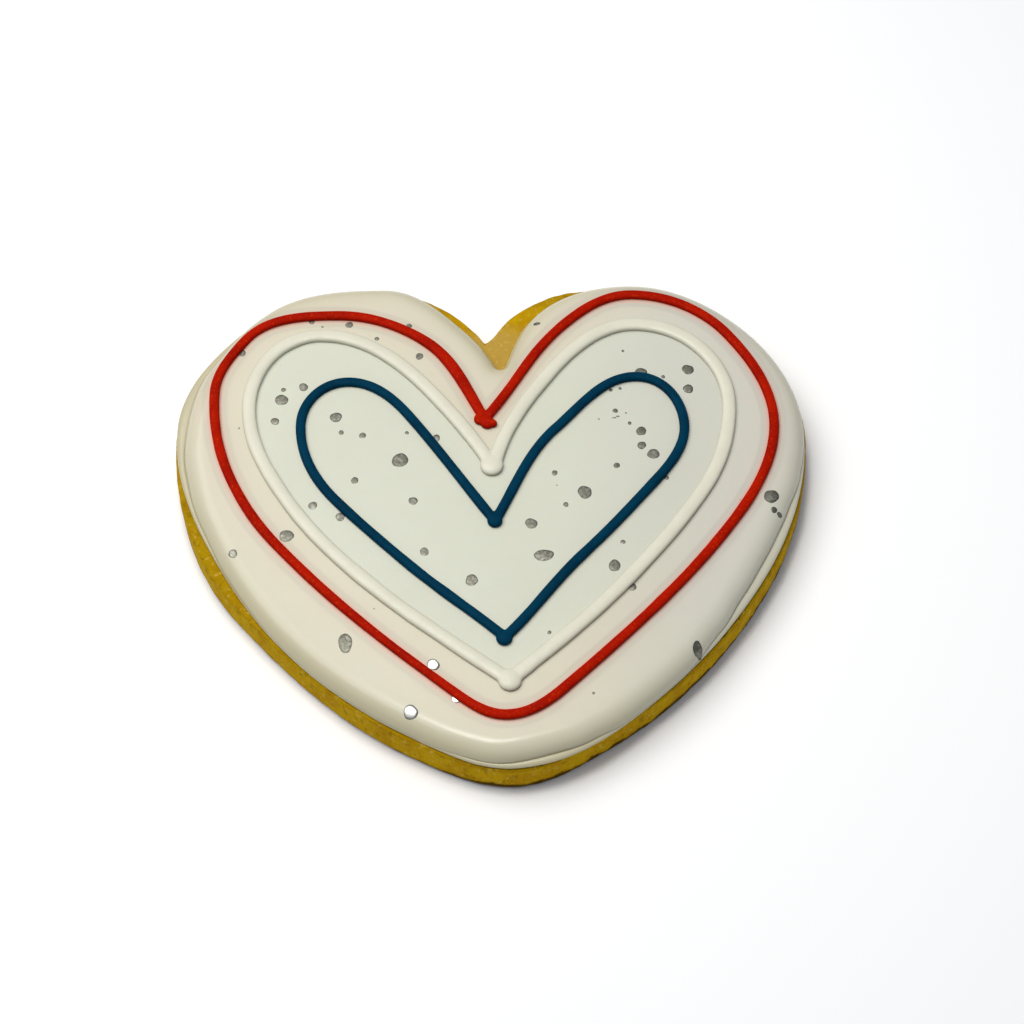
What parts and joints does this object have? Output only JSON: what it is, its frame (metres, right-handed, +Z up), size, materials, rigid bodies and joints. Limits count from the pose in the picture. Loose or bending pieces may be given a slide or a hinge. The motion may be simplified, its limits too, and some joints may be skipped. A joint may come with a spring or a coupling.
{
  "type": "iced heart cookie",
  "caption": "Heart-shaped sugar cookie with a smooth flood of white icing and piped red, white and dark blue hearts one inside the other",
  "frame": {"origin": "on the surface that the cookie rests on, under the middle of its bounding box", "axes": "+Z up through the icing, +X across the heart's width, +Y from the heart's tip to its two lobes"},
  "size_m": [0.0951, 0.0822, 0.0097],
  "materials": {
    "baked_dough": "dry golden baked dough with fine crumb",
    "white_icing": "smooth satin dried icing with splashes of silver food paint",
    "red_icing": "satin dried piped icing",
    "piped_white_icing": "satin dried piped icing",
    "blue_icing": "satin dried piped icing"
  },
  "bodies": {
    "root": {"cookie": "baked_dough", "icing": "white_icing", "red_line": "red_icing", "white_line": "piped_white_icing", "blue_line": "blue_icing"}
  },
  "joints": []
}
